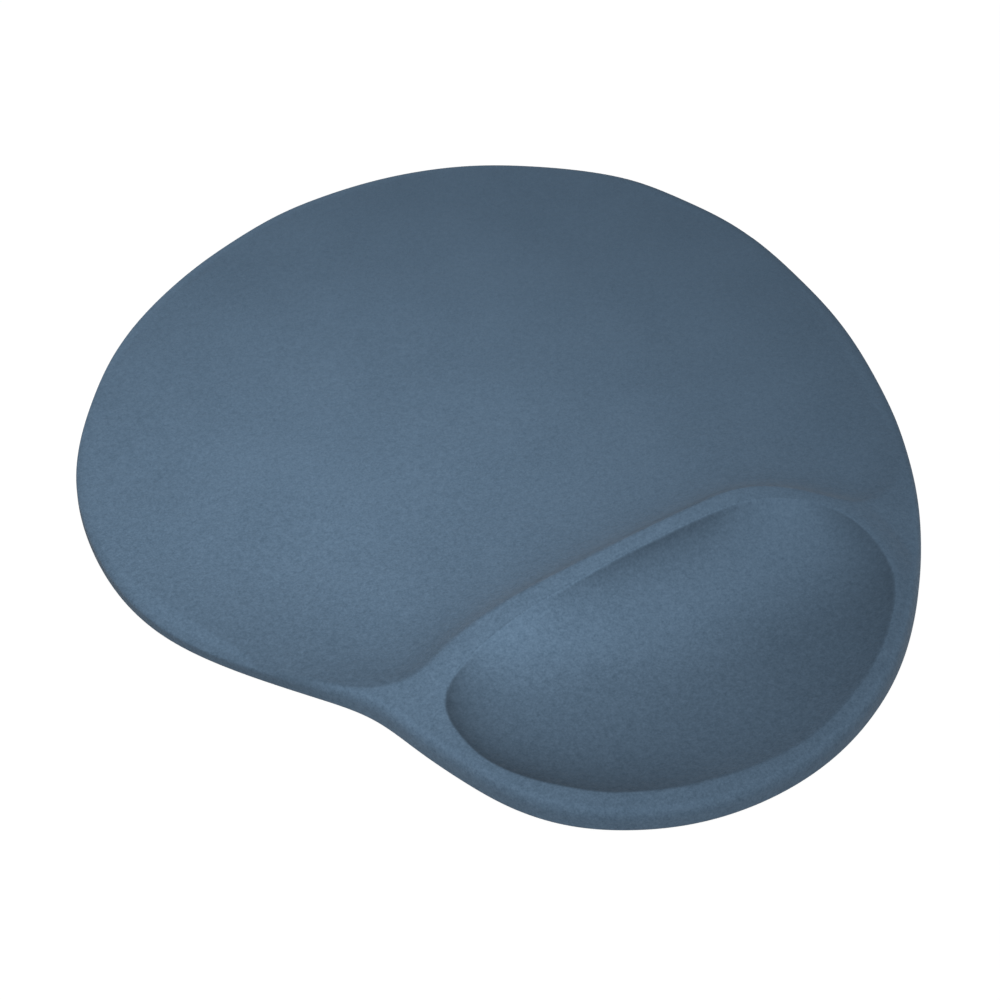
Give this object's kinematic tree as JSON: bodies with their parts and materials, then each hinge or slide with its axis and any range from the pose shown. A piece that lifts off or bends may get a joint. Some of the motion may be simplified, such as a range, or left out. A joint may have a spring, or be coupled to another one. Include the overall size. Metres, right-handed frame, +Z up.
{
  "type": "wrist rest mouse pad",
  "caption": "Soft cloth-covered mouse pad with a raised, dished gel wrist rest built into the user's side and a grippy rubber underside.",
  "frame": {"origin": "centre of the plan bounding box, on the underside of the base sheet", "axes": "+Z up from the desk, +X to the user's right, +Y away from the user (the wrist rest is at -Y)"},
  "size_m": [0.205, 0.236, 0.0156],
  "materials": {
    "cover_fabric": "fine matte knit, slate blue",
    "backing_film": "matte",
    "foam": "matte open-cell foam",
    "pouch_film": "clear satin",
    "gel": "soft clear gel",
    "adhesive": "matte",
    "base_rubber": "matte"
  },
  "bodies": {
    "root": {"cover_cloth": "cover_fabric", "cover_backing_film": "backing_film", "foam_body": "foam", "gel_pouch_top_film": "pouch_film", "gel_fill": "gel", "gel_pouch_bottom_film": "pouch_film", "base_adhesive_film": "adhesive", "antislip_base": "base_rubber"}
  },
  "joints": []
}
